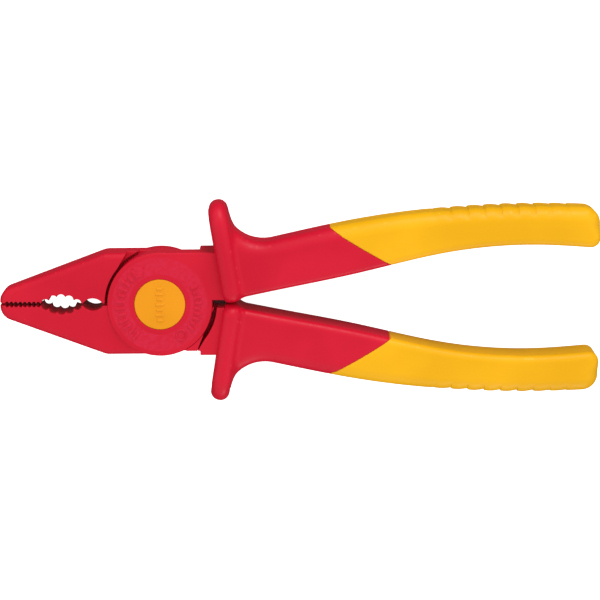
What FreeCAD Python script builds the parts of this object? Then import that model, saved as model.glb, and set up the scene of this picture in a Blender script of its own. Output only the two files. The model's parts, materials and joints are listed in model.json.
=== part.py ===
import FreeCAD, Part
import math
import os

from FreeCAD import Vector

# Insulated gripping pliers of glass-fibre plastic.
# Row frame: origin on the pivot axis at the outer face of the rear pivot cap,
# +X from the pivot towards the handle ends, +Y towards the upper handle, +Z along the pivot axis.
# The halves are modelled about the lap plane (z = 0) and lifted by LAP_HEIGHT at the end.
# The front half holds the lower jaw, the front disc and the upper handle. The rear half is the
# same moulding turned over about the X axis, so it holds the upper jaw and the lower handle.

# Overall
TIP_X = -48.0
HANDLE_END_X = 132.0
LAP_HEIGHT = 6.85

# Jaws: the faces taper from the knee to the tip
JAW_FACE = 6.3
TIP_FACE = 4.6
JAW_SIDE_Y = 15.5
JAW_KNEE_X = -16.4
JAW_SLOPE_DEG = 20.0
TIP_RADIUS = 2.6
JAW_EDGE_RADIUS = 1.6
MOUTH_CLEARANCE = 0.12

# Fine grooves near the tip
GROOVE_START_X = -45.9
GROOVE_PITCH = 1.35
GROOVE_COUNT = 8
GROOVE_RADIUS = 0.46

# Pipe grip: a row of scallops on a shallow arc
PIPE_CENTRE_X = -29.65
SCALLOP_PITCH = 2.37
SCALLOP_RADIUS = 1.32
SCALLOPS_EACH_SIDE = 2
PIPE_ARC_HEIGHT = 1.82
PIPE_ARC_HALF_LENGTH = 5.22

# Cable hole: an eye-shaped gap behind the pipe grip
CABLE_HOLE_X = (-23.4, -16.9)
CABLE_HOLE_HALF_HEIGHT = 1.9

# Lap joint
DISC_RADIUS = 15.75
DISC_FACE = 6.85
LAP_CLEARANCE = 0.15
JAW_SHOULDER_RADIUS = 16.55
JAW_SHOULDER_DEG = 220.0
JAW_SHOULDER_EXIT_DEG = 301.0
JAW_LEDGE_FACE = 2.0
ROOT_SHOULDER_RADIUS = 16.7
ROOT_SHOULDER_DEG = 38.0
ROOT_SHOULDER_EXIT_DEG = 116.0
ROOT_LEDGE_RADIUS = 16.0
ROOT_LEDGE_DEG = 33.0
ROOT_LEDGE_EXIT_DEG = 106.0
ROOT_LEDGE_Y = 14.3
DISC_EDGE_RADIUS = 0.5

# Root block between the disc and the guard
ROOT_FACE = 6.6
ROOT_INNER_Y = 1.16
ROOT_OUTER_Y = 15.65
ROOT_END_X = 20.0
ROOT_STEP_X = 11.9

# Handle, as a plan outline between an inner and an outer edge
HANDLE_FACE = 7.5
HANDLE_INNER_START = (21.85, 1.03)
HANDLE_INNER_STRAIGHT_END = (59.0, 8.56)
HANDLE_INNER_CURVE = [(73.2, 11.96), (85.4, 14.6), (98.6, 16.38), (112.8, 17.02)]
HANDLE_INNER_END = (128.3, 16.25)
HANDLE_OUTER_START = (32.0, 18.25)
HANDLE_OUTER_STRAIGHT_END = (56.9, 23.3)
HANDLE_OUTER_CURVE = [(73.2, 25.76), (89.4, 27.28), (109.8, 28.16)]
HANDLE_OUTER_END = (126.4, 27.9)
HANDLE_END_DROP = 0.2
HANDLE_END_OUTER_RADIUS = 4.7
HANDLE_END_INNER_RADIUS = 3.2
HANDLE_EDGE_RADIUS = 3.0

# Guard: a round-edged plate across the handle whose outer end is the horn
GUARD_THICKNESS = 5.7
GUARD_FACE = 10.0
GUARD_INNER_Y = 0.54
GUARD_TIP_Y = 30.4
GUARD_BASE_X = 22.1
GUARD_LEAN_DEG = 9.25
GUARD_TIP_CORNER_RADIUS = 7.5
GUARD_INNER_CORNER_RADIUS = 3.5
GUARD_EDGE_RADIUS = 2.6
HORN_BLEND_START = (21.25, 25.4)
HORN_BLEND_MID = (25.0, 19.85)

# Grip sleeve: red meets yellow along an arc across the handle
GRIP_SEAM_OUTER = {"front": (49.8, 23.4), "rear": (49.8, 22.5)}
GRIP_SEAM_INNER = {"front": (72.7, 9.7), "rear": (72.7, 8.9)}
GRIP_SEAM_SAG = {"front": -0.46, "rear": 0.45}
RIB_START_X = 87.6
RIB_PITCH = 5.03
RIB_COUNT = 8
RIB_FALL = 3.7
RIB_DEPTH = 0.5

# Tang: the fibre-filled core inside the handle
TANG_FACE = 4.6
TANG_START_X = 17.0
TANG_START_INSET = 2.0
TANG_OUTLINE = [(30.0, 5.7), (60.0, 12.0), (84.0, 17.5), (104.0, 20.0), (117.0, 20.1)]
TANG_RETURN = [(117.0, 24.2), (104.0, 24.5), (84.0, 23.4), (60.0, 20.4), (30.0, 14.3)]

# Pivot
PIVOT_RADIUS = 5.0
PIVOT_RUNNING_CLEARANCE = 0.05
STUD_RADIUS = 3.0
HEAD_RADIUS = 7.2
HEAD_RECESS_RADIUS = 7.4
HEAD_SEAT = 3.7
HEAD_TOP = 5.1
CAP_SEAT = 5.2
CAP_FLANGE_TOP = 6.05
CAP_FLANGE_RADIUS = 8.1
CAP_RADIUS = 7.65
CAP_EDGE_RADIUS = 0.35
STUD_TIP = -4.6

# Lap washer
WASHER_INNER_RADIUS = 5.2
WASHER_OUTER_RADIUS = 9.0
WASHER_SEAT_RADIUS = 9.1
WASHER_SEAT = 0.6
WASHER_RUNNING_CLEARANCE = 0.1

# How far a cutter reaches past the face it cuts, and past the mouth line
OVERCUT = 1.0
MOUTH_OVERCUT = 0.2
BEYOND_HANDLE = 10.0
THROUGH_JAW = (-JAW_FACE - OVERCUT, JAW_FACE + OVERCUT)

Z_AXIS = Vector(0, 0, 1)
X_AXIS = Vector(1, 0, 0)


def point(xy, z=0.0):
    return Vector(xy[0], xy[1], z)


def polar(radius, degrees):
    angle = math.radians(degrees)
    return (radius * math.cos(angle), radius * math.sin(angle))


def line(a, b):
    return Part.makeLine(point(a), point(b))


def arc(a, mid, b):
    return Part.Arc(point(a), point(mid), point(b)).toShape()


def spline(points):
    curve = Part.BSplineCurve()
    curve.interpolate([point(p) for p in points])
    return curve.toShape()


def rounded_corner(before, corner, after, radius):
    """The two ends and the middle of the arc that rounds a corner."""
    to_before = (point(before) - point(corner)).normalize()
    to_after = (point(after) - point(corner)).normalize()
    half = to_before.getAngle(to_after) / 2
    reach = radius / math.tan(half)
    centre = point(corner) + (to_before + to_after).normalize() * (radius / math.sin(half))
    middle = centre + (point(corner) - centre).normalize() * radius
    start = point(corner) + to_before * reach
    end = point(corner) + to_after * reach
    return [(v.x, v.y) for v in (start, middle, end)]


def prism(edges, low, high):
    """A closed chain of plan edges, extruded from low to high."""
    face = Part.Face(Part.Wire(Part.__sortEdges__(edges)))
    face.translate(Vector(0, 0, low))
    return face.extrude(Vector(0, 0, high - low))


def polygon_prism(points, low, high):
    edges = [line(a, b) for a, b in zip(points, points[1:] + points[:1])]
    return prism(edges, low, high)


def drum(radius, low, high, centre=(0.0, 0.0)):
    return Part.makeCylinder(radius, high - low, point(centre, low))


def fillet_where(shape, radius, wanted):
    edges = [edge for edge in shape.Edges if wanted(edge)]
    return shape.makeFillet(radius, edges)


def on_level(edge, *levels):
    """True if the whole edge lies at one of these heights."""
    slack = 0.01
    box = edge.BoundBox
    return any(abs(box.ZMin - z) < slack and abs(box.ZMax - z) < slack for z in levels)


# ---------------------------------------------------------------- fibre-filled halves


def jaw_taper():
    """Side-on profile of the jaw, drawn in x and z and pulled along Y."""
    profile = [
        (TIP_X, TIP_FACE),
        (JAW_KNEE_X, JAW_FACE),
        (0.0, JAW_FACE),
        (0.0, -JAW_FACE),
        (JAW_KNEE_X, -JAW_FACE),
        (TIP_X, -TIP_FACE),
    ]
    corners = [Vector(x, -DISC_RADIUS, z) for x, z in profile]
    return Part.Face(Part.makePolygon(corners + corners[:1])).extrude(Vector(0, DISC_RADIUS, 0))


def jaw_blank():
    """The lower jaw as a block with a rounded tip, before the teeth and holes are cut."""
    rise = math.tan(math.radians(JAW_SLOPE_DEG))
    tip_y = -JAW_SIDE_Y + (JAW_KNEE_X - TIP_X) * rise
    top_left = (TIP_X, -MOUTH_CLEARANCE)
    tip_corner = (TIP_X, tip_y)
    knee = (JAW_KNEE_X, -JAW_SIDE_Y)
    start, middle, end = rounded_corner(top_left, tip_corner, knee, TIP_RADIUS)
    edges = [
        line((0.0, -MOUTH_CLEARANCE), top_left),
        line(top_left, start),
        arc(start, middle, end),
        line(end, knee),
        line(knee, (0.0, -JAW_SIDE_Y)),
        line((0.0, -JAW_SIDE_Y), (0.0, -MOUTH_CLEARANCE)),
    ]
    blank = prism(edges, -JAW_FACE, JAW_FACE).common(jaw_taper())

    def outer_edge(edge):
        box = edge.BoundBox
        on_face = abs(edge.CenterOfMass.z) > TIP_FACE - OVERCUT / 2 and box.ZMin * box.ZMax > 0
        return on_face and box.YMax - box.YMin > 1.0 and box.XMax < 0.0

    return fillet_where(blank, JAW_EDGE_RADIUS, outer_edge)


def groove_cutters():
    cutters = []
    for i in range(GROOVE_COUNT):
        centre = (GROOVE_START_X + (i + 0.5) * GROOVE_PITCH, -MOUTH_CLEARANCE)
        cutters.append(drum(GROOVE_RADIUS, *THROUGH_JAW, centre))
    return cutters


def scallop_centre(index):
    offset = index * SCALLOP_PITCH
    height = PIPE_ARC_HEIGHT * (1 - (offset / PIPE_ARC_HALF_LENGTH) ** 2)
    return (PIPE_CENTRE_X + offset, -height)


def pipe_grip_cutters():
    """Drums for the scallops, and the space between them and the mouth line."""
    cutters = []
    steps = range(-SCALLOPS_EACH_SIDE, SCALLOPS_EACH_SIDE + 1)
    for i in steps:
        cutters.append(drum(SCALLOP_RADIUS, *THROUGH_JAW, scallop_centre(i)))
    centres = [scallop_centre(i) for i in steps]
    first, last = (centres[0][0], MOUTH_OVERCUT), (centres[-1][0], MOUTH_OVERCUT)
    cutters.append(polygon_prism([first] + centres + [last], *THROUGH_JAW))
    return cutters


def cable_hole_cutter():
    left, right = CABLE_HOLE_X
    middle = ((left + right) / 2, -CABLE_HOLE_HALF_HEIGHT)
    edges = [
        line((left, MOUTH_OVERCUT), (left, -MOUTH_CLEARANCE)),
        arc((left, -MOUTH_CLEARANCE), middle, (right, -MOUTH_CLEARANCE)),
        line((right, -MOUTH_CLEARANCE), (right, MOUTH_OVERCUT)),
        line((right, MOUTH_OVERCUT), (left, MOUTH_OVERCUT)),
    ]
    return prism(edges, *THROUGH_JAW)


def jaw_shoulder_pocket():
    """Room for the other half's disc behind the jaw, open towards the outer side."""
    corner = polar(JAW_SHOULDER_RADIUS, JAW_SHOULDER_DEG)
    run = polar(2 * DISC_RADIUS, JAW_SHOULDER_EXIT_DEG)
    exit_point = (corner[0] + run[0], corner[1] + run[1])
    wedge = [corner, exit_point, (DISC_RADIUS, exit_point[1]), (DISC_RADIUS, 0.0), (0.0, 0.0)]
    pocket = drum(JAW_SHOULDER_RADIUS, -JAW_FACE - OVERCUT, LAP_CLEARANCE)
    return pocket.fuse(polygon_prism(wedge, -JAW_FACE - OVERCUT, -JAW_LEDGE_FACE))


def beyond(radius, start_deg, run_deg):
    """Corners of the plan region to the right of a line that leaves a circle."""
    start = polar(radius, start_deg)
    run = polar(2 * DISC_RADIUS, run_deg)
    end = (start[0] + run[0], start[1] + run[1])
    return [start, end, (2 * DISC_RADIUS, end[1]), (2 * DISC_RADIUS, -OVERCUT), (start[0], -OVERCUT)]


def root_shoulder_pocket():
    """Room for the other half's disc in front of the root block, with a tapering slot beside it."""
    reach = (-ROOT_FACE - OVERCUT, LAP_CLEARANCE)
    solid_root = polygon_prism(beyond(ROOT_SHOULDER_RADIUS, ROOT_SHOULDER_DEG, ROOT_SHOULDER_EXIT_DEG), *reach)
    slot = polygon_prism(beyond(ROOT_LEDGE_RADIUS, ROOT_LEDGE_DEG, ROOT_LEDGE_EXIT_DEG), *reach)
    slot = slot.cut(solid_root).fuse(drum(ROOT_SHOULDER_RADIUS, *reach).common(slot))
    notch = polygon_prism(
        [
            (-OVERCUT, ROOT_LEDGE_Y),
            (ROOT_STEP_X, ROOT_LEDGE_Y),
            (ROOT_STEP_X, ROOT_OUTER_Y + OVERCUT),
            (-OVERCUT, ROOT_OUTER_Y + OVERCUT),
        ],
        *reach,
    )
    return drum(ROOT_LEDGE_RADIUS, *reach).fuse([slot, notch])


def lower_jaw():
    jaw = jaw_blank()
    for cutter in groove_cutters() + pipe_grip_cutters() + [cable_hole_cutter()]:
        jaw = jaw.cut(cutter)
    return jaw.cut(jaw_shoulder_pocket())


def disc():
    body = drum(DISC_RADIUS, LAP_CLEARANCE, DISC_FACE)
    return fillet_where(body, DISC_EDGE_RADIUS, lambda edge: on_level(edge, DISC_FACE))


def root_block():
    outline = [
        (0.0, ROOT_INNER_Y),
        (ROOT_END_X, ROOT_INNER_Y),
        (ROOT_END_X, ROOT_OUTER_Y),
        (0.0, ROOT_OUTER_Y),
    ]
    block = polygon_prism(outline, -ROOT_FACE, ROOT_FACE)

    def outer_edge(edge):
        return on_level(edge, -ROOT_FACE, ROOT_FACE) and edge.BoundBox.YMin > ROOT_INNER_Y + 1.0

    return fillet_where(block, DISC_EDGE_RADIUS, outer_edge).cut(root_shoulder_pocket())


def tang():
    start_low = (TANG_START_X, ROOT_INNER_Y + TANG_START_INSET)
    start_high = (TANG_START_X, ROOT_OUTER_Y - TANG_START_INSET)
    edges = [
        spline([start_low] + TANG_OUTLINE),
        line(TANG_OUTLINE[-1], TANG_RETURN[0]),
        spline(TANG_RETURN + [start_high]),
        line(start_high, start_low),
    ]
    return prism(edges, -TANG_FACE, TANG_FACE)


def half_body():
    """Lower jaw, front disc, root block and tang as one moulding."""
    body = lower_jaw().fuse([disc(), root_block(), tang()])
    body = body.cut(drum(PIVOT_RADIUS + PIVOT_RUNNING_CLEARANCE, -OVERCUT, DISC_FACE + OVERCUT))
    body = body.cut(drum(WASHER_SEAT_RADIUS, 0.0, WASHER_SEAT))
    body = body.cut(drum(HEAD_RECESS_RADIUS, HEAD_SEAT, DISC_FACE + OVERCUT))
    body = body.cut(drum(CAP_FLANGE_RADIUS, CAP_SEAT, DISC_FACE + OVERCUT))
    return body.removeSplitter()


# ---------------------------------------------------------------- handle sleeves


def handle_blank():
    """The outside of the whole handle behind the guard, red and yellow together."""
    end_outer_corner = (HANDLE_END_X, HANDLE_OUTER_END[1] - HANDLE_END_DROP)
    end_inner_corner = (HANDLE_END_X, HANDLE_INNER_END[1])
    outer_arc = rounded_corner(
        HANDLE_OUTER_END, end_outer_corner, end_inner_corner, HANDLE_END_OUTER_RADIUS
    )
    inner_arc = rounded_corner(
        end_outer_corner, end_inner_corner, HANDLE_INNER_END, HANDLE_END_INNER_RADIUS
    )
    edges = [
        line(HANDLE_INNER_START, HANDLE_INNER_STRAIGHT_END),
        spline([HANDLE_INNER_STRAIGHT_END] + HANDLE_INNER_CURVE + [inner_arc[2]]),
        arc(inner_arc[2], inner_arc[1], inner_arc[0]),
        line(inner_arc[0], outer_arc[2]),
        arc(outer_arc[2], outer_arc[1], outer_arc[0]),
        spline(outer_edge_points(outer_arc[0])),
        line(HANDLE_OUTER_STRAIGHT_END, HANDLE_OUTER_START),
        arc(HANDLE_OUTER_START, HORN_BLEND_MID, HORN_BLEND_START),
        line(HORN_BLEND_START, HANDLE_INNER_START),
    ]
    blank = prism(edges, -HANDLE_FACE, HANDLE_FACE)

    def exposed(edge):
        """Not one of the edges that the guard covers."""
        return on_level(edge, -HANDLE_FACE, HANDLE_FACE) and edge.BoundBox.XMax > HORN_BLEND_MID[0]

    return fillet_where(blank, HANDLE_EDGE_RADIUS, exposed)


def guard():
    """A plate with full-round edges, leaning so that the horn points towards the jaws."""
    low, high = GUARD_INNER_Y, GUARD_TIP_Y
    half = GUARD_THICKNESS / 2
    plate = Part.makeBox(
        GUARD_THICKNESS, high - low, 2 * GUARD_FACE, Vector(-half, low, -GUARD_FACE)
    )

    def across(edge):
        return edge.BoundBox.XLength > half

    def at_tip(edge):
        return across(edge) and edge.BoundBox.YMin > high - 1.0

    def at_inner_end(edge):
        return across(edge) and edge.BoundBox.YMax < low + 1.0

    def on_faces(edge):
        return abs(edge.BoundBox.Center.x) > half / 2

    plate = fillet_where(plate, GUARD_TIP_CORNER_RADIUS, at_tip)
    plate = fillet_where(plate, GUARD_INNER_CORNER_RADIUS, at_inner_end)
    plate = fillet_where(plate, GUARD_EDGE_RADIUS, on_faces)
    plate.rotate(Vector(0, 0, 0), Z_AXIS, GUARD_LEAN_DEG)
    plate.translate(Vector(GUARD_BASE_X, 0, 0))
    return plate


def outer_edge_points(end):
    return [end] + HANDLE_OUTER_CURVE[::-1] + [HANDLE_OUTER_STRAIGHT_END]


def handle_outer_y(x):
    """Height of the handle's outer edge above one place along it."""
    edge = spline(outer_edge_points(HANDLE_OUTER_END))
    plumb = line((x, 0.0), (x, 2 * HANDLE_OUTER_END[1]))
    return edge.distToShape(plumb)[1][0][0].y


def rib_cutters():
    """Saw-tooth notches across the outer flank: a gentle fall, then a step."""
    cutters = []
    for i in range(RIB_COUNT):
        step_x = RIB_START_X + i * RIB_PITCH
        start_x = step_x - RIB_FALL
        step_y = handle_outer_y(step_x)
        start_y = handle_outer_y(start_x)
        top_y = max(step_y, start_y) + OVERCUT
        notch = [(start_x, start_y), (step_x, step_y - RIB_DEPTH), (step_x, top_y), (start_x, top_y)]
        cutters.append(polygon_prism(notch, -HANDLE_FACE - OVERCUT, HANDLE_FACE + OVERCUT))
    return cutters


def grip_zone(half):
    """Everything on the handle-end side of the seam."""
    outer, inner = GRIP_SEAM_OUTER[half], GRIP_SEAM_INNER[half]
    along = (point(inner) - point(outer)).normalize()
    sideways = Vector(-along.y, along.x, 0)
    middle = (point(outer) + point(inner)) * 0.5 + sideways * GRIP_SEAM_SAG[half]
    far_x = HANDLE_END_X + BEYOND_HANDLE
    far_y = GUARD_TIP_Y + BEYOND_HANDLE
    edges = [
        arc(outer, (middle.x, middle.y), inner),
        line(inner, (inner[0], 0.0)),
        line((inner[0], 0.0), (far_x, 0.0)),
        line((far_x, 0.0), (far_x, far_y)),
        line((far_x, far_y), (outer[0], far_y)),
        line((outer[0], far_y), outer),
    ]
    return prism(edges, -GUARD_FACE - OVERCUT, GUARD_FACE + OVERCUT)


def guard_sleeve(half, body):
    """The red insulating sleeve with its guard, moulded over the half's root and tang."""
    red = handle_blank().cut(grip_zone(half)).fuse(guard())
    return red.cut(body).removeSplitter()


def grip(half, body):
    """The yellow grip that covers the rest of the tang."""
    yellow = handle_blank().common(grip_zone(half))
    for cutter in rib_cutters():
        yellow = yellow.cut(cutter)
    return yellow.cut(body)


# ---------------------------------------------------------------- pivot


def pivot_cap():
    """A snap-in cap: a flange under a raised button."""
    button = drum(CAP_RADIUS, CAP_FLANGE_TOP, DISC_FACE)
    button = fillet_where(button, CAP_EDGE_RADIUS, lambda edge: on_level(edge, DISC_FACE))
    return button.fuse(drum(CAP_FLANGE_RADIUS, CAP_SEAT, CAP_FLANGE_TOP)).removeSplitter()


def pivot_sleeve():
    """The bearing tube, fixed in the rear half by its head."""
    tube = drum(PIVOT_RADIUS, -HEAD_SEAT, HEAD_SEAT + PIVOT_RUNNING_CLEARANCE)
    head = drum(HEAD_RADIUS, -HEAD_TOP, -HEAD_SEAT)
    return tube.fuse(head).cut(drum(STUD_RADIUS, -HEAD_TOP - OVERCUT, HEAD_TOP)).removeSplitter()


def pivot_stud():
    """The headed stud that closes the joint, pressed into the bearing tube."""
    shank = drum(STUD_RADIUS, STUD_TIP, HEAD_SEAT + PIVOT_RUNNING_CLEARANCE)
    head = drum(HEAD_RADIUS, HEAD_SEAT + PIVOT_RUNNING_CLEARANCE, HEAD_TOP)
    return shank.fuse(head).removeSplitter()


def lap_washer():
    top = WASHER_SEAT - WASHER_RUNNING_CLEARANCE
    bore = drum(WASHER_INNER_RADIUS, -WASHER_SEAT - OVERCUT, top + OVERCUT)
    return drum(WASHER_OUTER_RADIUS, -WASHER_SEAT, top).cut(bore)


# ---------------------------------------------------------------- assembly


def turned_over(shape):
    flipped = shape.copy()
    flipped.rotate(Vector(0, 0, 0), X_AXIS, 180)
    return flipped


def write(name, shape):
    solid = shape.copy()
    solid.translate(Vector(0, 0, LAP_HEIGHT))
    if len(solid.Solids) != 1 or not solid.isValid():
        raise ValueError(f"{name}: {len(solid.Solids)} solids, valid {solid.isValid()}")
    solid.Solids[0].exportStep(f"parts/{name}.step")
    box = solid.BoundBox
    print(f"{name}: {solid.Volume / 1000:.2f} cm3, x {box.XMin:.1f}..{box.XMax:.1f}, "
          f"y {box.YMin:.1f}..{box.YMax:.1f}, z {box.ZMin:.1f}..{box.ZMax:.1f}")


def main():
    os.makedirs("parts", exist_ok=True)
    body = half_body()
    write("front_half", body)
    write("front_guard_sleeve", guard_sleeve("front", body))
    write("front_grip", grip("front", body))
    write("front_pivot_cap", pivot_cap())
    write("rear_half", turned_over(body))
    write("rear_guard_sleeve", turned_over(guard_sleeve("rear", body)))
    write("rear_grip", turned_over(grip("rear", body)))
    write("rear_pivot_cap", turned_over(pivot_cap()))
    write("pivot_sleeve", pivot_sleeve())
    write("pivot_stud", pivot_stud())
    write("lap_washer", lap_washer())


main()
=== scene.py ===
import json
import math

import bpy
import numpy as np
from mathutils import Matrix, Vector


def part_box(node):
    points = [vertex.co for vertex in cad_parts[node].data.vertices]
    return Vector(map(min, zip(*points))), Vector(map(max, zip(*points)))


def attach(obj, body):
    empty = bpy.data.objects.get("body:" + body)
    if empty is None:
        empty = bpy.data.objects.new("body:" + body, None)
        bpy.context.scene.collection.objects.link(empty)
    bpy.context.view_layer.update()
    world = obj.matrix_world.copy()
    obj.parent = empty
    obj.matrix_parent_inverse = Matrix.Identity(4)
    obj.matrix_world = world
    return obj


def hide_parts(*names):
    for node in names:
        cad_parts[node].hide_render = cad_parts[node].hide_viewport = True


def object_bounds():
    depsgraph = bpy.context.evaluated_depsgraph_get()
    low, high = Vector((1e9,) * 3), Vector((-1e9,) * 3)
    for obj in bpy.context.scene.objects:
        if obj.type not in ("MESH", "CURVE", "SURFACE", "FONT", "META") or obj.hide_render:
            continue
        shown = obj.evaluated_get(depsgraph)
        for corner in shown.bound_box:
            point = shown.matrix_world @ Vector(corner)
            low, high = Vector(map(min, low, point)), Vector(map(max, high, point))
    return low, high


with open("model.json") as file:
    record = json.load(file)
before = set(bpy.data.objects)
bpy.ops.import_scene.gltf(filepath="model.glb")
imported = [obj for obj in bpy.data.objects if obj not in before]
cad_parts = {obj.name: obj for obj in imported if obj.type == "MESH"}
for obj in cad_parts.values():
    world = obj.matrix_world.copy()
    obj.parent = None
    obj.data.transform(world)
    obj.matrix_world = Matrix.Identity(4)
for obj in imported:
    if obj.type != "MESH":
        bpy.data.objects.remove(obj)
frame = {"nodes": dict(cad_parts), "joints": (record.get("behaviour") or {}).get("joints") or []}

# Looks for the insulated gripping pliers.
# Every visible piece is meshed from a smooth field: a function of x, y, z that is negative inside
# the plastic. Fields are in millimetres, with z = 0 at the lap plane between the two halves. The
# front half is modelled, and the rear half is the same shape turned over about the X axis.

CAD_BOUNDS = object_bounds()
MM = 0.001

# ---------------------------------------------------------------- sizes from the frame


def box_mm(node):
    low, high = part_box(node)
    return low / MM, high / MM


LAP_Z = frame["joints"][0]["pos_m"][2] / MM
HALF_LOW, HALF_HIGH = box_mm("front_half")
GUARD_HIGH = box_mm("front_guard_sleeve")[1]
GRIP_HIGH = box_mm("front_grip")[1]
CAP_LOW = box_mm("front_pivot_cap")[0]

TIP_X = HALF_LOW.x - 0.3        # the moulded tips stand a little past the solids
DISC_RADIUS = -HALF_LOW.y
DISC_FACE = HALF_HIGH.z - LAP_Z
HANDLE_END_X = GRIP_HIGH.x
HANDLE_FACE = GRIP_HIGH.z - LAP_Z
GUARD_FACE = GUARD_HIGH.z - LAP_Z
CAP_SEAT = CAP_LOW.z - LAP_Z

# ---------------------------------------------------------------- driving dimensions, mm

JAW_FACE = 6.3
TIP_FACE = 4.6
JAW_SIDE_Y = 15.5
JAW_KNEE_X = -16.4
JAW_SLOPE_DEG = 20.0
JAW_KNEE_RADIUS = 0.4
TIP_RADIUS = 2.8
JAW_EDGE_RADIUS = 2.0
MOUTH_CLEARANCE = 0.36
CRISP_EDGE = 0.15

GROOVE_START_X = -46.7
GROOVE_PITCH = 1.35
GROOVE_COUNT = 8
GROOVE_RADIUS = 0.5

PIPE_CENTRE_X = -29.65
SCALLOP_PITCH = 2.37
SCALLOP_RADIUS = 1.32
SCALLOPS_EACH_SIDE = 2
PIPE_ARC_HEIGHT = 1.82
PIPE_ARC_HALF_LENGTH = 5.22

CABLE_HOLE_X = (-23.4, -16.9)
CABLE_HOLE_HALF_HEIGHT = 1.9

LAP_CLEARANCE = 0.15
JAW_SHOULDER_RADIUS = 16.55
JAW_SHOULDER_DEG = 220.0
JAW_SHOULDER_EXIT_DEG = 301.0
JAW_LEDGE_FACE = 2.0
ROOT_SHOULDER_RADIUS = 17.1
ROOT_SHOULDER_DEG = 38.0
ROOT_SHOULDER_EXIT_DEG = 122.0
ROOT_LEDGE_RADIUS = 15.8
ROOT_LEDGE_DEG = 33.0
ROOT_LEDGE_EXIT_DEG = 112.0
ROOT_LEDGE_Y = 14.3
ROOT_LEDGE_END_X = 7.6
ROOT_STEP_X = 11.9
MOULDED_EDGE = 0.4
SMALL_EDGE = 0.2
BORE_RADIUS = 5.1
HEAD_ROOM_RADIUS = 7.6
HEAD_SEAT = 3.3
WASHER_SEAT = 0.7
WASHER_SEAT_RADIUS = 9.2
LEDGE_EDGE = 0.25

ROOT_INNER_Y = 1.16
ROOT_OUTER_Y = 15.65

HANDLE_INNER_EDGE = [(14.0, -0.6), (37.0, 4.2), (59.0, 8.68), (73.2, 12.06), (85.4, 14.65),
                     (98.6, 16.38), (112.8, 16.9), (128.3, 16.0), (134.0, 15.5)]
HANDLE_OUTER_EDGE = [(14.0, 14.7), (32.0, 18.35), (44.5, 21.1), (56.9, 23.62), (73.2, 26.1),
                     (89.4, 27.6), (109.8, 28.42), (126.4, 28.1), (134.0, 27.8)]
HANDLE_END_OUTER_RADIUS = 4.7
HANDLE_END_INNER_RADIUS = 3.2
HANDLE_OUTER_EDGE_RADIUS = 4.2
HANDLE_INNER_EDGE_RADIUS = 2.2
HANDLE_EDGE_BLEND = (0.25, 0.6)  # share of the width over which the edge radius grows
HANDLE_CROWN = 0.22

GUARD_THICKNESS = 5.7
GUARD_INNER_Y = 0.54
GUARD_TIP_Y = 30.75
GUARD_BASE_X = 22.1
GUARD_LEAN = math.radians(9.25)
GUARD_TIP_CORNER_RADIUS = 7.5
GUARD_INNER_CORNER_RADIUS = 3.5
GUARD_EDGE_RADIUS = 2.75
GUARD_FILLET = 1.6
HORN_BLEND_RADIUS = 12.6
HORN_CORE_INSET = 0.9
HORN_CORE_TIP_Y = 25.0

SEAM_OUTER = {"front": (49.8, 23.4), "rear": (49.8, 22.5)}
SEAM_INNER = {"front": (72.7, 9.7), "rear": (72.7, 8.9)}
SEAM_SAG = {"front": -0.46, "rear": 0.45}
SEAM_EDGE = 0.12

RIB_START_X = 87.6
RIB_PITCH = 5.0
RIB_COUNT = 8
RIB_CREST = 0.35
RIB_DEPTH = 0.5
RIB_LEAD = 0.12
RIB_REACH = 3.4
RIB_REACH_BLEND = 2.2
RIB_FALL_POWER = 1.6
RIB_FADE_IN = (-1.9, 0.3)       # in ribs from the first
RIB_FADE_OUT = (3.5, 1.5)       # in ribs before the last
RIB_FADE_SHARE = 0.55

CAP_RADIUS = 7.65
CAP_GAP = 0.06
CAP_TICKS = 3
CAP_TICK_SPACING = 1.6
CAP_TICK_HALF_WIDTH = 0.32
CAP_TICK_HALF_LENGTHS = (1.3, 0.95)
CAP_TICK_CORNER = 0.28
CAP_TICK_HEIGHT = 0.2
CAP_EDGE = 0.35
CAP_FLANGE_DROP = 0.8

# Raised marks on the disc: two fans of bars, a pad and a ring, all in polar or plan sizes
FAN_DEG = {"long": (128.0, 232.0), "short": (-38.0, 27.0)}
FAN_RADII = {"long": (10.4, 13.5), "short": (10.5, 12.8)}
FAN_SPACING = {"long": 2.05, "short": 1.7}
BAR_HALF_WIDTH = 0.42
SHORT_BAR_CUT = 0.7             # taken off the outer end of every third bar
MARK_CORNER = 0.3
MARK_HEIGHT = 0.32
MARK_EDGE = 0.1
MARK_ROOT = 1.0                 # how far the marks reach into the disc
PAD_AT = (11.8, 122.0)
PAD_HALF = 1.45
RING_AT = (11.2, 304.0)
RING_RADIUS = 1.5
RING_HALF_WIDTH = 0.2

# ---------------------------------------------------------------- fields


def hypot(a, b):
    return np.sqrt(a * a + b * b)


def join(a, b):
    return np.minimum(a, b)


def round_join(a, b, radius):
    """Union with a concave fillet."""
    fillet = hypot(np.maximum(radius - a, 0), np.maximum(radius - b, 0))
    return np.maximum(radius, np.minimum(a, b)) - fillet


def round_both(a, b, radius):
    """Intersection with a convex fillet."""
    fillet = hypot(np.maximum(radius + a, 0), np.maximum(radius + b, 0))
    return np.minimum(-radius, np.maximum(a, b)) + fillet


def round_cut(a, cutter, radius):
    return round_both(a, -cutter, radius)


def half_plane(x, y, through, degrees):
    """Negative on the left of a line through a point in a direction."""
    angle = math.radians(degrees)
    return (x - through[0]) * math.sin(angle) - (y - through[1]) * math.cos(angle)


def disc_field(x, y, radius, centre=(0.0, 0.0)):
    return hypot(x - centre[0], y - centre[1]) - radius


def slab(z, low, high):
    return np.abs(z - (low + high) / 2) - (high - low) / 2


def polar(radius, degrees):
    angle = math.radians(degrees)
    return (radius * math.cos(angle), radius * math.sin(angle))


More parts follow.
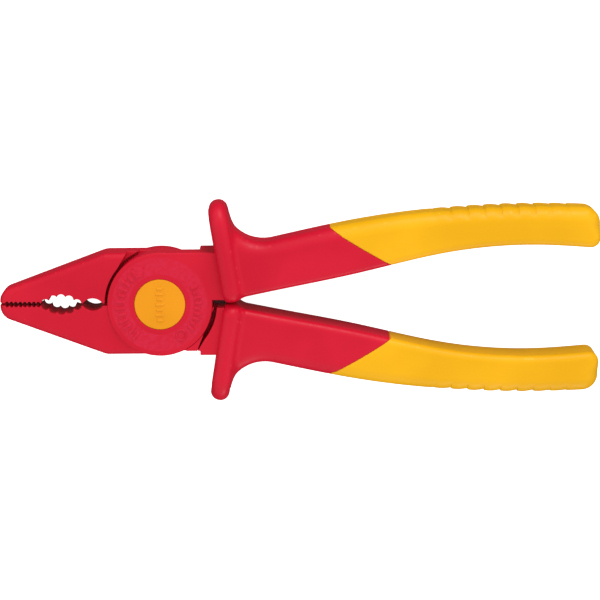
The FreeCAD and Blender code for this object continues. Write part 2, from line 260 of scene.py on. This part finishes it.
def smoothstep(low, high, value):
    t = np.clip((value - low) / (high - low), 0, 1)
    return t * t * (3 - 2 * t)


class Curve:
    """A natural cubic through points of rising x."""

    def __init__(self, points):
        self.x = np.array([p[0] for p in points])
        self.y = np.array([p[1] for p in points])
        n = len(points)
        h = np.diff(self.x)
        system = np.eye(n)
        right = np.zeros(n)
        for i in range(1, n - 1):
            system[i, i - 1:i + 2] = h[i - 1], 2 * (h[i - 1] + h[i]), h[i]
            right[i] = 6 * ((self.y[i + 1] - self.y[i]) / h[i] - (self.y[i] - self.y[i - 1]) / h[i - 1])
        self.bend = np.linalg.solve(system, right)

    def _span(self, x):
        i = np.clip(np.searchsorted(self.x, x) - 1, 0, len(self.x) - 2)
        h = self.x[i + 1] - self.x[i]
        a = (self.x[i + 1] - x) / h
        return i, h, a, 1 - a

    def at(self, x):
        i, h, a, b = self._span(x)
        cubic = (a ** 3 - a) * self.bend[i] + (b ** 3 - b) * self.bend[i + 1]
        return a * self.y[i] + b * self.y[i + 1] + cubic * h * h / 6

    def slope(self, x):
        i, h, a, b = self._span(x)
        cubic = (3 * b * b - 1) * self.bend[i + 1] - (3 * a * a - 1) * self.bend[i]
        return (self.y[i + 1] - self.y[i]) / h + cubic * h / 6

    def above(self, x, y):
        """Distance from the curve, positive above it."""
        return (y - self.at(x)) / np.sqrt(1 + self.slope(x) ** 2)


# ---------------------------------------------------------------- fibre-filled halves


def mouth_cutters(x, y):
    """Fine grooves, pipe grip and cable hole of the lower jaw, in plan."""
    offset = np.mod(x - GROOVE_START_X, GROOVE_PITCH) - GROOVE_PITCH / 2
    grooves_end = GROOVE_START_X + GROOVE_COUNT * GROOVE_PITCH
    grooves = hypot(offset, y + MOUTH_CLEARANCE) - GROOVE_RADIUS
    grooves = np.maximum(grooves, slab(x, GROOVE_START_X, grooves_end))
    pipe = np.full(np.broadcast(x, y).shape, 1e3)
    for i in range(-SCALLOPS_EACH_SIDE, SCALLOPS_EACH_SIDE + 1):
        step = i * SCALLOP_PITCH
        depth = PIPE_ARC_HEIGHT * (1 - (step / PIPE_ARC_HALF_LENGTH) ** 2)
        centre = (PIPE_CENTRE_X + step, -depth)
        column = np.maximum(slab(x, centre[0] - SCALLOP_PITCH / 2, centre[0] + SCALLOP_PITCH / 2), -depth - y)
        pipe = join(pipe, join(disc_field(x, y, SCALLOP_RADIUS, centre), column))
    half = (CABLE_HOLE_X[1] - CABLE_HOLE_X[0]) / 2
    rise = CABLE_HOLE_HALF_HEIGHT
    radius = (half * half + rise * rise) / (2 * rise)
    centre = (CABLE_HOLE_X[0] + half, radius - rise)
    cable = disc_field(x, y, radius, centre)
    return join(join(grooves, pipe), cable)


def jaw_pocket(x, y, z):
    """Room for the other half's disc behind the jaw, and the shallower wedge beside it."""
    well = np.maximum(disc_field(x, y, JAW_SHOULDER_RADIUS), z - LAP_CLEARANCE)
    corner = polar(JAW_SHOULDER_RADIUS, JAW_SHOULDER_DEG)
    wedge = np.maximum(half_plane(x, y, corner, JAW_SHOULDER_EXIT_DEG), z + JAW_LEDGE_FACE)
    wedge = np.maximum(wedge, half_plane(x, y, (0, 0), JAW_SHOULDER_DEG))
    return join(well, np.maximum(wedge, y))


def root_pocket(x, y, z):
    """Room for the other half's disc in front of the root block, with a tapering slot beside it."""
    root_edge = half_plane(x, y, polar(ROOT_SHOULDER_RADIUS, ROOT_SHOULDER_DEG), ROOT_SHOULDER_EXIT_DEG)
    root_edge = np.maximum(root_edge, half_plane(x, y, (0, 0), ROOT_SHOULDER_DEG))
    ledge_edge = half_plane(x, y, polar(ROOT_LEDGE_RADIUS, ROOT_LEDGE_DEG), ROOT_LEDGE_EXIT_DEG)
    slot = np.maximum(join(disc_field(x, y, ROOT_SHOULDER_RADIUS), root_edge), -ledge_edge)
    step = join(np.maximum(x - ROOT_STEP_X, ROOT_LEDGE_Y - y), x - ROOT_LEDGE_END_X)
    room = join(join(disc_field(x, y, ROOT_LEDGE_RADIUS), slot), step)
    return np.maximum(room, z - LAP_CLEARANCE)


def lower_jaw(x, y, z):
    slope = -half_plane(x, y, (JAW_KNEE_X, -JAW_SIDE_Y), 180 - JAW_SLOPE_DEG)
    side = -y - JAW_SIDE_Y
    plan = round_both(slope, TIP_X - x, TIP_RADIUS)
    plan = round_both(plan, side, JAW_KNEE_RADIUS)
    plan = np.maximum(plan, x)
    from_tip = np.clip((x - TIP_X) / (JAW_KNEE_X - TIP_X), 0, 1)
    face = TIP_FACE + (JAW_FACE - TIP_FACE) * from_tip
    body = round_both(plan, np.abs(z) - face, JAW_EDGE_RADIUS)
    body = round_both(body, y + MOUTH_CLEARANCE, CRISP_EDGE)
    body = round_cut(body, mouth_cutters(x, y), CRISP_EDGE)
    return round_cut(body, jaw_pocket(x, y, z), LEDGE_EDGE)


def fan(x, y, kind):
    """A fan of plain radial bars, every third one shorter."""
    first, last = (math.radians(a) for a in FAN_DEG[kind])
    inner, outer = FAN_RADII[kind]
    middle = (inner + outer) / 2
    count = round((last - first) * middle / FAN_SPACING[kind])
    pitch = (last - first) / count
    turn = np.mod(np.arctan2(y, x) - first + pitch, 2 * math.pi) - pitch
    index = np.clip(np.round(turn / pitch), 0, count)
    angle = first + index * pitch
    across = y * np.cos(angle) - x * np.sin(angle)
    along = x * np.cos(angle) + y * np.sin(angle)
    shorter = np.where(np.mod(index, 3) == 1, SHORT_BAR_CUT, 0.0)
    past_ends = np.abs(along - middle + shorter / 2) - (outer - inner - shorter) / 2
    return round_both(np.abs(across) - BAR_HALF_WIDTH, past_ends, MARK_CORNER)


def relief(x, y):
    """Plain raised marks round the disc."""
    marks = join(fan(x, y, "long"), fan(x, y, "short"))
    pad_x, pad_y = polar(*PAD_AT)
    pad = round_both(np.abs(x - pad_x) - PAD_HALF, np.abs(y - pad_y) - PAD_HALF, MARK_CORNER)
    ring = np.abs(disc_field(x, y, RING_RADIUS, polar(*RING_AT))) - RING_HALF_WIDTH
    return join(marks, join(pad, ring))


def pivot_room(x, y, z):
    """Bore, washer seat and head recess for the bearing parts."""
    bore = disc_field(x, y, BORE_RADIUS)
    seat = np.maximum(disc_field(x, y, WASHER_SEAT_RADIUS), np.abs(z) - WASHER_SEAT)
    head = np.maximum(disc_field(x, y, HEAD_ROOM_RADIUS), HEAD_SEAT - z)
    return join(bore, join(seat, head))


def half_body(x, y, z):
    jaw = lower_jaw(x, y, z)
    drum = round_both(disc_field(x, y, DISC_RADIUS), slab(z, LAP_CLEARANCE, DISC_FACE), MOULDED_EDGE)
    root = np.maximum(slab(y, ROOT_INNER_Y, ROOT_OUTER_Y), slab(x, 0.0, GUARD_BASE_X))
    root = round_both(root, np.abs(z) - DISC_FACE, MOULDED_EDGE)
    root = round_cut(root, root_pocket(x, y, z), CRISP_EDGE)
    body = round_join(join(drum, root), jaw, SMALL_EDGE)
    marks = round_both(relief(x, y), slab(z, DISC_FACE - MARK_ROOT, DISC_FACE + MARK_HEIGHT), MARK_EDGE)
    body = join(body, marks)
    recess = np.maximum(disc_field(x, y, CAP_RADIUS + CAP_GAP), CAP_SEAT - z)
    body = round_cut(body, recess, SMALL_EDGE)
    return np.maximum(body, -pivot_room(x, y, z))


# ---------------------------------------------------------------- handles

INNER = Curve(HANDLE_INNER_EDGE)
OUTER = Curve(HANDLE_OUTER_EDGE)


def guard_axes(x, y):
    """Across and along the leaning guard plate."""
    c, s = math.cos(GUARD_LEAN), math.sin(GUARD_LEAN)
    return (x - GUARD_BASE_X) * c + y * s, -(x - GUARD_BASE_X) * s + y * c


def guard_plate(x, y, z):
    across, along = guard_axes(x, y)
    tip = round_both(along - GUARD_TIP_Y, np.abs(z) - GUARD_FACE, GUARD_TIP_CORNER_RADIUS)
    inner = round_both(GUARD_INNER_Y - along, np.abs(z) - GUARD_FACE, GUARD_INNER_CORNER_RADIUS)
    outline = np.maximum(tip, inner)
    return round_both(outline, np.abs(across) - GUARD_THICKNESS / 2, GUARD_EDGE_RADIUS)


def rib_depth(x):
    """Depth below the outer edge: each rib rises from a step, crests and falls to the next step."""
    turn = (x - RIB_START_X) / RIB_PITCH
    phase = turn - np.floor(turn)
    lead = RIB_LEAD * np.clip(1 - phase / RIB_CREST, 0, 1) ** 2
    fall = RIB_DEPTH * np.clip((phase - RIB_CREST) / (1 - RIB_CREST), 0, 1) ** RIB_FALL_POWER
    fade_in = smoothstep(*RIB_FADE_IN, turn)
    fade_out = 1 - RIB_FADE_SHARE * smoothstep(RIB_COUNT - RIB_FADE_OUT[0], RIB_COUNT - RIB_FADE_OUT[1], turn)
    return np.where((turn > -2) & (turn < RIB_COUNT - 1), (lead + fall) * fade_in * fade_out, 0)


def handle(x, y, z):
    """The outside of a handle behind the guard, and the distance from its outer edge in plan."""
    to_outer = OUTER.above(x, y)
    to_inner = -INNER.above(x, y)
    to_end = x - HANDLE_END_X
    across, along = guard_axes(x, y)
    core = GUARD_THICKNESS / 2 - HORN_CORE_INSET
    plan = round_both(to_outer, to_end, HANDLE_END_OUTER_RADIUS)
    plan = round_join(plan, np.maximum(across - core, along - HORN_CORE_TIP_Y), HORN_BLEND_RADIUS)
    plan = np.maximum(plan, round_both(to_inner, to_end, HANDLE_END_INNER_RADIUS))
    plan = np.maximum(plan, -core - across)
    share = np.clip(to_inner / (to_inner + to_outer - 1e-6), 0, 1)
    growth = HANDLE_OUTER_EDGE_RADIUS - HANDLE_INNER_EDGE_RADIUS
    edge = HANDLE_INNER_EDGE_RADIUS + growth * smoothstep(*HANDLE_EDGE_BLEND, share)
    crown = HANDLE_CROWN * (2 * share - 1) ** 2
    body = round_both(plan, np.abs(z) - HANDLE_FACE + crown, edge)
    return body, to_outer


def seam(x, y, half):
    """Negative on the handle-end side of the seam between sleeve and grip."""
    a, b = np.array(SEAM_OUTER[half]), np.array(SEAM_INNER[half])
    chord = np.linalg.norm(b - a)
    along = (b - a) / chord
    sideways = np.array((-along[1], along[0]))
    sag = SEAM_SAG[half]
    radius = (chord * chord / 4 + sag * sag) / (2 * abs(sag))
    bow = 1 if sag > 0 else -1
    centre = (a + b) / 2 + sideways * (sag - bow * radius)
    return -bow * disc_field(x, y, radius, centre)


def guard_sleeve(half):
    def field(x, y, z):
        body, _ = handle(x, y, z)
        body = round_both(body, -seam(x, y, half), SEAM_EDGE)
        return round_join(body, guard_plate(x, y, z), GUARD_FILLET)

    return field


def grip(half):
    def field(x, y, z):
        body, to_outer = handle(x, y, z)
        ribs = rib_depth(x) * smoothstep(-RIB_REACH, -RIB_REACH + RIB_REACH_BLEND, to_outer)
        return round_both(body + ribs, seam(x, y, half), SEAM_EDGE)

    return field


# ---------------------------------------------------------------- pivot caps


def cap(x, y, z):
    """The button on its thin flange, with a row of plain ticks, every other one shorter."""
    button = round_both(disc_field(x, y, CAP_RADIUS), slab(z, CAP_SEAT, DISC_FACE), CAP_EDGE)
    flange_disc = disc_field(x, y, CAP_RADIUS + CAP_GAP)
    flange = round_both(flange_disc, slab(z, CAP_SEAT, DISC_FACE - CAP_FLANGE_DROP), MARK_EDGE)
    body = round_join(button, flange, SMALL_EDGE)
    row = np.clip(np.round(y / CAP_TICK_SPACING), -CAP_TICKS, CAP_TICKS)
    half_length = np.where(np.mod(row, 2) == 0, *CAP_TICK_HALF_LENGTHS)
    past_side = np.abs(y - row * CAP_TICK_SPACING) - CAP_TICK_HALF_WIDTH
    tick = round_both(past_side, np.abs(x) - half_length, CAP_TICK_CORNER)
    tick = round_both(tick, slab(z, DISC_FACE - MARK_ROOT, DISC_FACE + CAP_TICK_HEIGHT), MARK_EDGE)
    return join(body, tick)


# ---------------------------------------------------------------- meshing


def graded(*stations):
    """Grid lines from (start, step), (start, step), ..., end."""
    lines = []
    for (start, step), after in zip(stations, stations[1:]):
        end = after if np.isscalar(after) else after[0]
        count = max(1, round((end - start) / step))
        lines.extend(start + (end - start) * np.arange(count) / count)
    return np.array(lines + [stations[-1]])


def surface_net(field, axes):
    """Vertices and quads of the field's zero surface on a grid of lines."""
    xs, ys, zs = axes
    shape = (len(xs), len(ys), len(zs))
    values = np.broadcast_to(field(xs[:, None, None], ys[None, :, None], zs[None, None, :]), shape)
    inside = values < 0
    cells = tuple(n - 1 for n in shape)
    total = np.zeros(cells + (3,))
    hits = np.zeros(cells)
    crossings = []
    for axis in range(3):
        first = [slice(None)] * 3
        second = [slice(None)] * 3
        first[axis] = slice(0, -1)
        second[axis] = slice(1, None)
        a, b = values[tuple(first)], values[tuple(second)]
        crossing = inside[tuple(first)] != inside[tuple(second)]
        share = np.where(crossing, a / np.where(crossing, a - b, 1), 0)
        others = [i for i in range(3) if i != axis]
        lines = axes[axis]
        view = [1, 1, 1]
        view[axis] = -1
        position = lines[:-1].reshape(view) + share * np.diff(lines).reshape(view)
        for du in (0, 1):
            for dv in (0, 1):
                window = [slice(None)] * 3
                window[others[0]] = slice(du, cells[others[0]] + du)
                window[others[1]] = slice(dv, cells[others[1]] + dv)
                window = tuple(window)
                hit = crossing[window]
                hits += hit
                total[..., axis] += np.where(hit, position[window], 0)
                for other, shift in zip(others, (du, dv)):
                    spread = [1, 1, 1]
                    spread[other] = -1
                    at = axes[other][shift:shift + cells[other]].reshape(spread)
                    total[..., other] += np.where(hit, at, 0)
        crossings.append((crossing, inside[tuple(first)]))
    active = hits > 0
    number = np.full(cells, -1)
    number[active] = np.arange(active.sum())
    vertices = total[active] / hits[active][:, None]
    quads = []
    for axis, (crossing, starts_inside) in enumerate(crossings):
        u, v = (axis + 1) % 3, (axis + 2) % 3
        core = [slice(None)] * 3
        core[u] = core[v] = slice(1, -1)
        core = tuple(core)
        index = np.argwhere(crossing[core])
        index[:, u] += 1
        index[:, v] += 1
        ring = []
        for du, dv in ((-1, -1), (0, -1), (0, 0), (-1, 0)):
            cell = index.copy()
            cell[:, u] += du
            cell[:, v] += dv
            ring.append(number[cell[:, 0], cell[:, 1], cell[:, 2]])
        ring = np.stack(ring, 1)
        flip = ~starts_inside[index[:, 0], index[:, 1], index[:, 2]]
        ring[flip] = ring[flip][:, ::-1]
        quads.append(ring)
    return vertices, np.concatenate(quads)


def settle(field, vertices, steps=4, limit=0.2):
    """Moves vertices along the field's gradient onto its zero surface."""
    for _ in range(steps):
        value = field(*vertices.T)
        gradient = gradient_of(field, vertices)
        size = np.maximum((gradient ** 2).sum(1), 0.25)
        move = -gradient * (value / size)[:, None]
        length = np.linalg.norm(move, axis=1, keepdims=True)
        vertices = vertices + move * np.minimum(1, limit / np.maximum(length, 1e-9))
    return vertices


def gradient_of(field, vertices, reach=0.02):
    x, y, z = vertices.T
    return np.stack([
        field(x + reach, y, z) - field(x - reach, y, z),
        field(x, y + reach, z) - field(x, y - reach, z),
        field(x, y, z + reach) - field(x, y, z - reach),
    ], 1) / (2 * reach)


def turned_over(vertices):
    return vertices * np.array((1, -1, -1))


def piece(name, field, axes, material, body, node, over=False):
    """Meshes a field as the look of a node, riding on a body."""
    vertices, quads = surface_net(field, axes)
    vertices = settle(field, vertices)
    normals = gradient_of(field, vertices)
    normals /= np.maximum(np.linalg.norm(normals, axis=1, keepdims=True), 1e-6)
    if over:
        vertices, normals = turned_over(vertices), turned_over(normals)
    vertices = (vertices + np.array((0, 0, LAP_Z))) * MM
    mesh = bpy.data.meshes.new(name)
    mesh.from_pydata(vertices.tolist(), [], quads.tolist())
    mesh.polygons.foreach_set("use_smooth", [True] * len(mesh.polygons))
    mesh.normals_split_custom_set_from_vertices(normals.tolist())
    mesh.materials.append(material)
    made = bpy.data.objects.new(name, mesh)
    bpy.context.scene.collection.objects.link(made)
    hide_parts(node)
    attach(made, body)


# ---------------------------------------------------------------- materials


SHEEN = 0.2
DRIFT_SCALE = 45.0
MOTTLE_SCALE = 900.0
BAND_BLEND = 0.2


def plastic(name, colour, roughness, grain, grain_depth, wear, sheen_band=None):
    """Moulded plastic: drifting tone, paler worn edges, fine grain and, if asked, a speckled ring of painted
    sheen: a paler, pinker colour for the gloss of a spark-eroded ring.
    """
    material = bpy.data.materials.new(name)
    material.use_nodes = True
    nodes, links = material.node_tree.nodes, material.node_tree.links
    shader = nodes["Principled BSDF"]
    shader.inputs["Specular IOR Level"].default_value = SHEEN
    place = nodes.new("ShaderNodeTexCoord")

    def noise(scale, detail):
        node = nodes.new("ShaderNodeTexNoise")
        node.inputs["Scale"].default_value = scale
        node.inputs["Detail"].default_value = detail
        links.new(place.outputs["Object"], node.inputs["Vector"])
        return node

    def mapped(source, low, high, new_low, new_high):
        node = nodes.new("ShaderNodeMapRange")
        node.inputs["From Min"].default_value = low
        node.inputs["From Max"].default_value = high
        node.inputs["To Min"].default_value = new_low
        node.inputs["To Max"].default_value = new_high
        links.new(source, node.inputs["Value"])
        return node.outputs["Result"]

    def blended(first, second, share):
        node = nodes.new("ShaderNodeMix")
        node.data_type = "RGBA"
        for socket, value in ((node.inputs["A"], first), (node.inputs["B"], second)):
            if isinstance(value, tuple):
                socket.default_value = value
            else:
                links.new(value, socket)
        links.new(share, node.inputs["Factor"])
        return node.outputs["Result"]

    drift = noise(DRIFT_SCALE, 2.0)
    mottle = noise(MOTTLE_SCALE, 3.0)
    deep = tuple(c * 0.93 for c in colour) + (1.0,)
    pale = tuple(min(1.0, c * 1.04 + 0.003) for c in colour) + (1.0,)
    base = blended(deep, pale, mapped(drift.outputs["Fac"], 0.35, 0.65, 0.0, 1.0))
    worn = tuple(min(1.0, c * 1.1 + wear) for c in colour) + (1.0,)
    geometry = nodes.new("ShaderNodeNewGeometry")
    edges = mapped(geometry.outputs["Pointiness"], 0.53, 0.62, 0.0, 0.6)
    base = blended(base, worn, edges)
    # Painted sheen: between two radii the base colour is mixed, in speckles, towards a paler, pinker colour.
    if sheen_band:
        inner, outer, sheen_tint = sheen_band
        flat = nodes.new("ShaderNodeVectorMath")
        flat.operation = "MULTIPLY"
        flat.inputs[1].default_value = (1, 1, 0)
        links.new(place.outputs["Object"], flat.inputs[0])
        radius = nodes.new("ShaderNodeVectorMath")
        radius.operation = "LENGTH"
        links.new(flat.outputs["Vector"], radius.inputs[0])
        past_inner, past_outer = (
            mapped(radius.outputs["Value"], (edge - BAND_BLEND) * MM, (edge + BAND_BLEND) * MM, 0.0, 1.0)
            for edge in (inner, outer)
        )
        speckle = mapped(mottle.outputs["Fac"], 0.38, 0.62, 0.35, 1.0)
        sheen_speckled = blended(base, sheen_tint + (1.0,), speckle)
        base = blended(blended(base, sheen_speckled, past_inner), base, past_outer)
    links.new(base, shader.inputs["Base Color"])
    gloss = mapped(mottle.outputs["Fac"], 0.3, 0.7, roughness - 0.05, roughness + 0.07)
    links.new(gloss, shader.inputs["Roughness"])
    fine = noise(grain, 2.0)
    bump = nodes.new("ShaderNodeBump")
    bump.inputs["Strength"].default_value = 0.5
    bump.inputs["Distance"].default_value = grain_depth * MM
    links.new(fine.outputs["Fac"], bump.inputs["Height"])
    links.new(bump.outputs["Normal"], shader.inputs["Normal"])
    return material


# Painted sheen on the disc: between these radii the red is mixed in speckles towards this paler, pinker
# colour, for the gloss of a spark-eroded ring.
PAINTED_SHEEN_BAND = (9.2, 14.3, (0.70, 0.014, 0.05))

RED_BODY = plastic("red_fibre_plastic", (0.685, 0.004, 0.027), 0.46, 3200.0, 0.03, 0.02, PAINTED_SHEEN_BAND)
RED_SLEEVE = plastic("red_sleeve_plastic", (0.68, 0.004, 0.028), 0.40, 2400.0, 0.012, 0.02)
YELLOW_GRIP = plastic("yellow_grip_plastic", (0.97, 0.48, 0.001), 0.42, 2400.0, 0.012, 0.03)
YELLOW_CAP = plastic("yellow_cap_plastic", (0.93, 0.345, 0.004), 0.45, 3000.0, 0.015, 0.03)
BEARING = plastic("bearing_plastic", (0.74, 0.71, 0.62), 0.5, 3000.0, 0.02, 0.02)

# ---------------------------------------------------------------- pieces

# Grid lines, with closer steps where a shape is finer. MARGIN keeps the surface inside the grid.
MARGIN = 0.4
BODY_AXES = (
    graded((TIP_X - 0.3, 0.15), (GROOVE_START_X, 0.135), (-35.0, 0.18), (-14.5, 0.225), (14.5, 0.32), 24.0),
    graded((-DISC_RADIUS - MARGIN, 0.27), (-3.6, 0.16), (-0.8, 0.08), (0.2, 0.27), 16.4),
    graded((-DISC_FACE - MARGIN, 0.2), (-4.8, 0.6), (-0.3, 0.15), (0.6, 0.6), (4.8, 0.2),
           (DISC_FACE - 0.6, 0.09), DISC_FACE + MARGIN),
)
HANDLE_STEP = 0.36
SLEEVE_AXES = (
    graded((12.5, HANDLE_STEP), 73.5),
    graded((-0.2, HANDLE_STEP), 31.5),
    graded((-GUARD_FACE - MARGIN, HANDLE_STEP), GUARD_FACE + MARGIN),
)
GRIP_AXES = (
    graded((47.5, HANDLE_STEP), (RIB_START_X - RIB_PITCH, 0.2), (122.0, HANDLE_STEP), HANDLE_END_X + 0.5),
    graded((8.0, HANDLE_STEP), 29.2),
    graded((-HANDLE_FACE - MARGIN, HANDLE_STEP), HANDLE_FACE + MARGIN),
)
CAP_REACH = 8.4
CAP_AXES = (
    graded((-CAP_REACH, 0.16), CAP_REACH),
    graded((-CAP_REACH, 0.16), CAP_REACH),
    graded((CAP_SEAT - 0.3, 0.14), DISC_FACE + MARGIN),
)

for half, over in (("front", False), ("rear", True)):
    side = half + "_side"
    piece(half + "_half_body", half_body, BODY_AXES, RED_BODY, side, half + "_half", over)
    piece(half + "_guard", guard_sleeve(half), SLEEVE_AXES, RED_SLEEVE, side, half + "_guard_sleeve",
          over)
    piece(half + "_grip_skin", grip(half), GRIP_AXES, YELLOW_GRIP, side, half + "_grip", over)
    piece(half + "_cap", cap, CAP_AXES, YELLOW_CAP, side, half + "_pivot_cap", over)

for name in ("pivot_sleeve", "pivot_stud", "lap_washer"):
    node = frame["nodes"][name]
    node.data.materials.clear()
    node.data.materials.append(BEARING)

# ---------------------------------------------------------------- stage, light and camera

low, high = (Vector(corner) for corner in CAD_BOUNDS)
middle = (low + high) / 2
length = high.x - low.x

# Softboxes: offset from the middle and size, in lengths of the pliers, and power for one length squared
SOFTBOXES = {
    "back_softbox": ((0.6, 3.0, 1.0), 1.2, 38.0),
    "front_softbox": ((0.9, -3.0, 0.5), 1.2, 16.0),
}
# White dome: sine of the height above the horizon, and brightness
DOME = ((0.0, 0.09), (0.0005, 0.9), (0.17, 0.9), (0.3, 0.55), (0.75, 1.03), (0.93, 0.6))
DOME_STRENGTH = 1.13
FLOOR_GLOW = 1.0
FLOOR_REACH = 1500              # in lengths of the pliers
FLOOR_PAINT = (0.92, 0.92, 0.92, 1)

CAMERA_TILT = math.radians(10.92)
CAMERA_SWING = math.radians(-0.21)
CAMERA_ROLL = math.radians(-0.47)
CAMERA_DISTANCE = 0.65
CAMERA_AIM = (0.04, -0.27)      # from the middle, mm
CAMERA_LENS = 128.83


def floor():
    """A wide pale floor that glows evenly, so it shows white and throws no light on the pliers."""
    mesh = bpy.data.meshes.new("floor")
    reach = FLOOR_REACH * length
    corners = [(-reach, -reach), (reach, -reach), (reach, reach), (-reach, reach)]
    points = [(middle.x + x, middle.y + y, low.z) for x, y in corners]
    mesh.from_pydata(points, [], [(0, 1, 2, 3)])
    sheet = bpy.data.objects.new("floor", mesh)
    bpy.context.scene.collection.objects.link(sheet)
    paint = bpy.data.materials.new("floor_paint")
    paint.use_nodes = True
    shader = paint.node_tree.nodes["Principled BSDF"]
    shader.inputs["Base Color"].default_value = FLOOR_PAINT
    shader.inputs["Roughness"].default_value = 0.9
    shader.inputs["Emission Color"].default_value = (1, 1, 1, 1)
    shader.inputs["Emission Strength"].default_value = FLOOR_GLOW
    mesh.materials.append(paint)
    sheet.visible_diffuse = False
    sheet.visible_glossy = False


def area_light(name, offset, size, power):
    """A square softbox aimed at the middle of the pliers."""
    data = bpy.data.lights.new(name, "AREA")
    data.size = size * length
    data.energy = power * length * length
    lamp = bpy.data.objects.new(name, data)
    place = middle + Vector(offset) * length
    facing = (place - middle).to_track_quat("Z", "Y").to_matrix().to_4x4()
    lamp.matrix_world = Matrix.Translation(place) @ facing
    bpy.context.scene.collection.objects.link(lamp)


def camera():
    """Looks down on the pliers from just behind the vertical."""
    tilt, swing, roll = CAMERA_TILT, CAMERA_SWING, CAMERA_ROLL
    target = Vector((middle.x + CAMERA_AIM[0] * MM, middle.y + CAMERA_AIM[1] * MM, LAP_Z * MM))
    back = Vector((math.sin(swing), math.sin(tilt) * math.cos(swing), math.cos(tilt) * math.cos(swing)))
    right = Vector((0, 1, 0)).cross(back).normalized()
    up = back.cross(right)
    turned_right = right * math.cos(roll) + up * math.sin(roll)
    turned_up = up * math.cos(roll) - right * math.sin(roll)
    data = bpy.data.cameras.new("camera")
    data.lens = CAMERA_LENS
    data.sensor_width = 36.0
    data.clip_start = 0.01
    data.clip_end = 20.0
    eye = bpy.data.objects.new("camera", data)
    axes = Matrix((turned_right, turned_up, back)).transposed().to_4x4()
    eye.matrix_world = Matrix.Translation(target + back * CAMERA_DISTANCE) @ axes
    bpy.context.scene.collection.objects.link(eye)
    bpy.context.scene.camera = eye


def studio():
    """A white dome, bright near the horizon and high up, and dark below the horizon."""
    world = bpy.data.worlds.new("studio")
    world.use_nodes = True
    nodes, links = world.node_tree.nodes, world.node_tree.links
    place = nodes.new("ShaderNodeTexCoord")
    split = nodes.new("ShaderNodeSeparateXYZ")
    ramp = nodes.new("ShaderNodeValToRGB")
    links.new(place.outputs["Generated"], split.inputs["Vector"])
    links.new(split.outputs["Z"], ramp.inputs["Fac"])
    stops = ramp.color_ramp.elements
    while len(stops) < len(DOME):
        stops.new(0.5)
    for stop, (height, level) in zip(stops, DOME):
        stop.position = height
        stop.color = (level, level, level, 1)
    background = nodes["Background"]
    links.new(ramp.outputs["Color"], background.inputs["Color"])
    background.inputs["Strength"].default_value = DOME_STRENGTH
    bpy.context.scene.world = world


floor()
for name, (offset, size, power) in SOFTBOXES.items():
    area_light(name, offset, size, power)
studio()
bpy.context.scene.view_settings.view_transform = "Standard"
camera()
